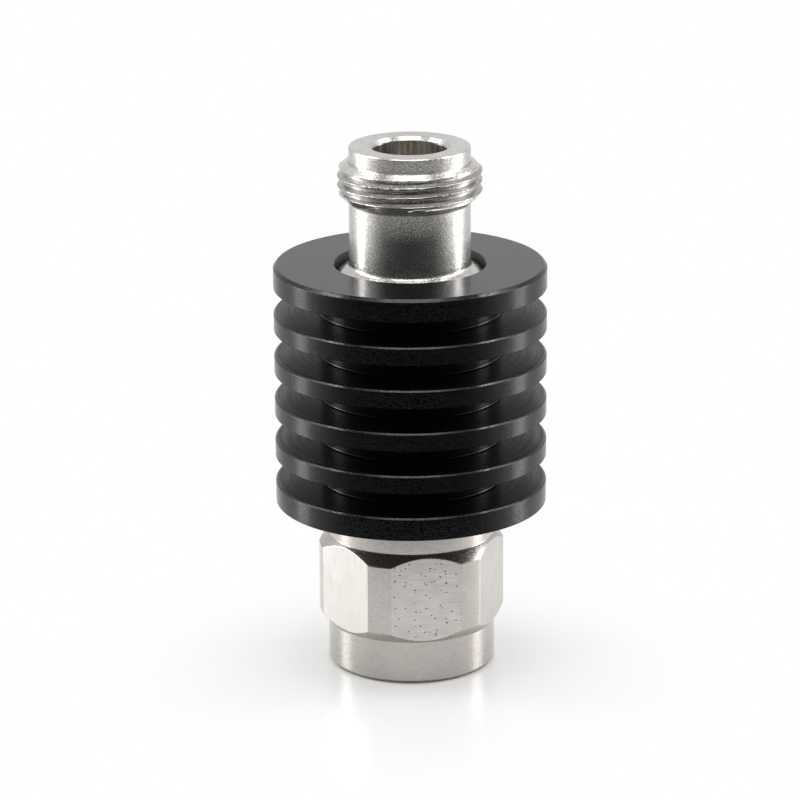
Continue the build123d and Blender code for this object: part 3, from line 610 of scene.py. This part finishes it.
def nutAngles():
    # Even steps on each flat and each arc, with columns held close beside the edges between them
    corner, beside = nut["corner"], [math.radians(a) for a in nut["besideEdge"]]
    half, onFlat, onArc = math.pi / 6, nut["flatColumns"], nut["arcColumns"]
    steps = {corner} | {corner - b for b in beside} | {corner + b for b in beside}
    steps |= {(corner - beside[2]) * i / onFlat for i in range(onFlat)}
    steps |= {corner + beside[2] + (half - corner - beside[2]) * i / onArc for i in range(1, onArc + 1)}
    wedge = sorted({-s for s in steps if 0 < s < half - 1e-6} | steps)
    fromFirst = [-half] + [math.pi / 3 * flat + step for flat in range(6) for step in wedge]
    return [nut["turn"] + angle for angle in fromFirst]


def besideFlat(angle):
    # How far this angle is from the middle of the nearest flat
    return (angle - nut["turn"] + math.pi / 6) % (math.pi / 3) - math.pi / 6


def nutReach(angle):
    # Distance of the milled bar's side from the axis, with the edge between flat and bar a little broken
    side, bar, blend = nut["flat"] / math.cos(besideFlat(angle)), nut["bar"], nut["edgeBlend"]
    return min(side, bar) - max(blend - abs(side - bar), 0) ** 2 / (4 * blend)


def nutThreadPoint(row, angle):
    height = climbed(row, angle, nut["threadStart"], nut["threadEnd"])
    entry = max(nut["countersink"] - height, nut["minor"])
    return Vector((max(entry, nut["minor"] + grooveDepth(nutGrooveStart, height, angle)), height))


def nutOutline(angle):
    n = nut
    reach, soft = nutReach(angle), n["soft"]
    barLow = n["frontRing"] + n["taper"]
    slope = n["taper"] * (n["bar"] - reach) / (n["bar"] - n["ring"])
    rearRing = barLow + n["barLength"] + n["taper"]
    corners = [(n["countersink"], 0, 0), (n["ring"] - n["frontBevel"], 0, n["frontSoft"][0]),
               (n["ring"], n["frontBevel"], n["frontSoft"][1]), (n["ring"], n["frontRing"], soft),
               (reach, barLow - slope, soft), (reach, barLow + n["barLength"] + slope, soft),
               (n["ring"], rearRing, soft), (n["ring"], nutTop - n["rearBevel"], soft),
               (n["ring"] - n["rearBevel"], nutTop, soft),
               (n["rearBore"] + n["boreBevel"], nutTop, n["boreSoft"]),
               (n["rearBore"], nutTop - n["boreBevel"], n["boreSoft"]), (n["rearBore"], n["grooveHigh"], 0),
               (n["groove"], n["grooveHigh"], 0), (n["groove"], n["grooveLow"], 0),
               (n["rearBore"], n["grooveLow"], 0), (n["rearBore"], n["shoulder"], 0),
               (n["relief"], n["shoulder"], 0), (n["relief"], n["threadLength"], 0)]
    return softened(corners) + [nutThreadPoint(row, angle) for row in reversed(nutRows)]


def nutPaint(angle, radius, _):
    # 0 for turned faces, whose nickel is painted darker as shade, 1 and 2 for flats, whose tool marks run
    # across and along the axis in turn
    away = besideFlat(angle)
    if abs(away) > nut["corner"] or abs(radius * math.cos(away) - nut["flat"]) > nut["flatMargin"]:
        return 0
    return 1 + round((angle - nut["turn"] - away) / (math.pi / 3)) % 2


turned("couplingNut", nutOutline, nutAngles(), "nut", "coupling_nut",
       [turnedNutPaintedShade, milledAcross, milledAlong], nutPaint)
print("nut made")

# Floor, studio light and camera
studio = {"floor": "#f4f4f3", "floorRoughness": 0.2, "floorRadius": 70, "floorSides": 96,
          "sheen": 0.3, "sheenRoughness": 0.15,
          # distances from the axis: where the floor turns white, how much white glow it has least (a painted
          # light over its shadow near the part) and how far in front this is centred, where the nut's contact
          # shadow ends, where the floor fades out
          "whiteFrom": 6, "whiteTo": 38, "whiteLeast": 0.3, "whiteForward": 6,
          "contactFrom": 8.9, "contactTo": 9.7, "edgeFrom": 54, "edgeTo": 68,
          # the world: its light, and how bright mirrors find the sky and the table, with how far up and
          # down they begin and are complete
          "fill": 0.55, "sky": 0.42, "skyUp": (0.66, 0.9), "table": 2.1, "tableDown": (-0.39, -0.53)}
# How bright the mirrors in the part find the studio all round: (angle from the camera's side, level)
mirrored = [(0, 0.035), (45, 0.09), (60, 0.25), (73, 0.6), (84, 0.95), (94, 1.3), (101, 4.0), (109, 4.0),
            (115, 1.4), (122, 0.9), (140, 0.74), (180, 0.85)]
smooth = {"interpolation_type": "SMOOTHSTEP"}
greater, product = {"operation": "MAXIMUM"}, {"operation": "MULTIPLY"}


def fromMiddle(tree, place, start, end, least=0.0, forward=0.0):
    # "least" near the axis and 1 far from it, round a point moved forward to the camera
    moved = addNode(tree, "ShaderNodeVectorMath", {}, {0: place, 1: (0, forward, 0)})
    radius = addNode(tree, "ShaderNodeVectorMath", {"operation": "LENGTH"}, {0: moved}, "Value")
    return addNode(tree, "ShaderNodeMapRange", smooth, {0: radius, 1: start, 2: end, 3: least})


def paleFloor():
    # A white acrylic table top: it takes a soft shadow and a faint mirror image near the part, lightened
    # there by a painted white glow, and goes over into the white background further out. Seen from below it
    # is clear.
    s = studio
    material, tree, place = newMaterial("whiteAcrylic")
    acrylic = addNode(tree, "ShaderNodeBsdfPrincipled", {}, {
        "Base Color": hexColour(s["floor"]), "Roughness": s["floorRoughness"]})
    path = addNode(tree, "ShaderNodeLightPath", {}, {}).node.outputs
    white = addNode(tree, "ShaderNodeEmission", {}, {"Strength": 1.0})
    # mirrors in the part also see the side lights in the acrylic
    sheenLevel = addNode(tree, "ShaderNodeMath", product, {0: path["Is Glossy Ray"], 1: s["sheen"]})
    sheen = addNode(tree, "ShaderNodeBsdfPrincipled", {}, {
        "Base Color": (0, 0, 0, 1), "Roughness": s["sheenRoughness"], "Specular IOR Level": sheenLevel})
    seenWhite = addNode(tree, "ShaderNodeAddShader", {}, {0: white, 1: sheen})
    # painted light: the floor glows partly white even in the part's shadow, least near the axis, and not
    # where the nut touches it
    bright = fromMiddle(tree, place, s["whiteFrom"], s["whiteTo"], s["whiteLeast"], s["whiteForward"])
    contact = fromMiddle(tree, place, s["contactFrom"], s["contactTo"])      # dark where the nut touches it
    reflected = {0: path["Is Glossy Ray"], 1: path["Is Transmission Ray"]}
    glossy = addNode(tree, "ShaderNodeMath", greater, reflected)
    seen = addNode(tree, "ShaderNodeMath", greater, {0: path["Is Camera Ray"], 1: glossy})
    near = addNode(tree, "ShaderNodeMath", product, {0: bright, 1: contact})
    far = addNode(tree, "ShaderNodeMath", product, {0: near, 1: seen})
    lit = addNode(tree, "ShaderNodeMixShader", {}, {0: far, 1: acrylic, 2: seenWhite})
    edge = fromMiddle(tree, place, s["edgeFrom"], s["edgeTo"])
    below = addNode(tree, "ShaderNodeNewGeometry", {}, {}, "Backfacing")
    unseen = addNode(tree, "ShaderNodeMath", greater, {0: edge, 1: below})
    clear = addNode(tree, "ShaderNodeBsdfTransparent", {}, {})
    whole = addNode(tree, "ShaderNodeMixShader", {}, {0: unseen, 1: lit, 2: clear})
    addNode(tree, "ShaderNodeOutputMaterial", {}, {"Surface": whole})
    return material


def makeFloor():
    mesh = bpy.data.meshes.new("floor")
    shape = bmesh.new()
    radius, sides = studio["floorRadius"] * mm, studio["floorSides"]
    bmesh.ops.create_circle(shape, cap_ends=True, segments=sides, radius=radius)
    shape.to_mesh(mesh)
    shape.free()
    mesh.materials.append(paleFloor())
    floor = bpy.data.objects.new("floor", mesh)
    scene.collection.objects.link(floor)


def makeWorld():
    # White all round for the eye. Mirrors see the studio: white behind, a bright panel at each side that
    # reaches up, the dim room in front and the bright table at its foot.
    s = studio
    world = bpy.data.worlds.new("whiteStudio")
    scene.world = world
    world.use_nodes = True
    tree = world.node_tree
    tree.nodes.clear()
    direction = addNode(tree, "ShaderNodeTexCoord", {}, {}, "Generated")
    up = addNode(tree, "ShaderNodeSeparateXYZ", {}, {0: direction}, 2)
    level = addNode(tree, "ShaderNodeVectorMath", product, {0: direction, 1: (1, 1, 0)})
    compass = addNode(tree, "ShaderNodeVectorMath", {"operation": "NORMALIZE"}, {0: level})
    back = addNode(tree, "ShaderNodeSeparateXYZ", {}, {0: compass}, 1)
    turn = addNode(tree, "ShaderNodeMapRange", {}, {0: back, 1: -1, 2: 1})
    ramp = addNode(tree, "ShaderNodeValToRGB", {}, {0: turn})
    stops = ramp.node.color_ramp.elements
    brightest = max(strength for _, strength in mirrored)
    for i, (azimuth, strength) in enumerate(mirrored):
        place = (1 - math.cos(math.radians(azimuth))) / 2
        stop = stops[i] if i < 2 else stops.new(place)      # a new ramp has two stops
        stop.position = place
        stop.color = [strength / brightest] * 3 + [1]
    around = addNode(tree, "ShaderNodeMath", product, {0: ramp, 1: brightest})
    above = addNode(tree, "ShaderNodeMapRange", smooth, {0: up, 1: s["skyUp"][0], 2: s["skyUp"][1]})
    below = addNode(tree, "ShaderNodeMapRange", smooth, {0: up, 1: s["tableDown"][0], 2: s["tableDown"][1]})
    sky = addNode(tree, "ShaderNodeMath", {"operation": "MINIMUM"}, {0: around, 1: s["sky"]})
    upper = addNode(tree, "ShaderNodeMix", {}, {0: above, 2: around, 3: sky})
    table = addNode(tree, "ShaderNodeMath", greater, {0: around, 1: s["table"]})
    mirror = addNode(tree, "ShaderNodeMix", {}, {0: below, 2: upper, 3: table})
    path = addNode(tree, "ShaderNodeLightPath", {}, {}).node.outputs
    reflected = {0: path["Is Glossy Ray"], 1: path["Is Transmission Ray"]}
    glossy = addNode(tree, "ShaderNodeMath", greater, reflected)
    unseen = addNode(tree, "ShaderNodeMix", {}, {0: glossy, 2: s["fill"], 3: mirror})
    strength = addNode(tree, "ShaderNodeMix", {}, {0: path["Is Camera Ray"], 2: unseen, 3: 1.0})
    background = addNode(tree, "ShaderNodeBackground", {}, {"Color": (1, 1, 1, 1), "Strength": strength})
    addNode(tree, "ShaderNodeOutputWorld", {}, {"Surface": background})


softboxes = {
    # name: (azimuth from the camera's side, height of its middle, distance, width, height, brightness)
    "leftSoftbox": (-104, 120, 300, 90, 200, 4.2),
    "rightSoftbox": (104, 120, 300, 90, 200, 4.2),
    "leftHighLamp": (-98, 305, 210, 100, 50, 9.0),
    "rightHighLamp": (98, 305, 210, 100, 50, 9.0),
    "overheadSoftbox": (0, 330, 90, 290, 130, 1.6),
    "overheadLamp": (0, 320, 60, 170, 110, 3.2),
}
aimHeight = 30            # they all face this point of the axis


def makeSoftboxes():
    aim = Vector((0, 0, aimHeight * mm))
    for name, (azimuth, height, distance, width, tall, brightness) in softboxes.items():
        lamp = bpy.data.lights.new(name, "AREA")
        lamp.shape = "RECTANGLE"
        lamp.size, lamp.size_y = width * mm, tall * mm
        lamp.energy = brightness * math.pi * lamp.size * lamp.size_y      # watts for this brightness
        box = bpy.data.objects.new(name, lamp)
        a = math.radians(azimuth)
        box.location = Vector((distance * math.sin(a), -distance * math.cos(a), height)) * mm
        box.rotation_mode = "QUATERNION"
        box.rotation_quaternion = (aim - box.location).to_track_quat("-Z", "Y")
        scene.collection.objects.link(box)


view = {"lens": 173.68, "sensor": 36, "distance": 426.1, "target": 31.5, "right": 10.68, "up": 12.83,
        "pixels": 800, "elevation": 17.174, "roll": 0.3057}      # millimetres, pixels and degrees


def makeCamera():
    # The photograph's view: the axis point at the target height shows "right" and "up" of the picture's
    # middle by that many of its pixels. The clipping distances are in metres.
    lens = bpy.data.cameras.new("camera")
    lens.lens = view["lens"]
    lens.sensor_width = view["sensor"]
    lens.clip_start, lens.clip_end = 0.01, 10
    camera = bpy.data.objects.new("camera", lens)
    e = math.radians(view["elevation"])
    back = Vector((0, -math.cos(e), math.sin(e)))
    target = Vector((0, 0, view["target"] * mm))
    camera.location = target + back * view["distance"] * mm
    perPixel = view["distance"] * mm * lens.sensor_width / lens.lens / view["pixels"]
    upward = Vector((0, math.sin(e), math.cos(e)))
    aim = target - (Vector((1, 0, 0)) * view["right"] + upward * view["up"]) * perPixel
    camera.rotation_mode = "QUATERNION"
    facing = (aim - camera.location).to_track_quat("-Z", "Y").to_matrix()
    roll = Matrix.Rotation(math.radians(-view["roll"]), 3, "Z")
    camera.rotation_quaternion = (facing @ roll).to_quaternion()
    scene.collection.objects.link(camera)
    scene.camera = camera


scene.view_settings.view_transform = "Standard"
makeFloor()
makeWorld()
makeSoftboxes()
makeCamera()
print("studio made")
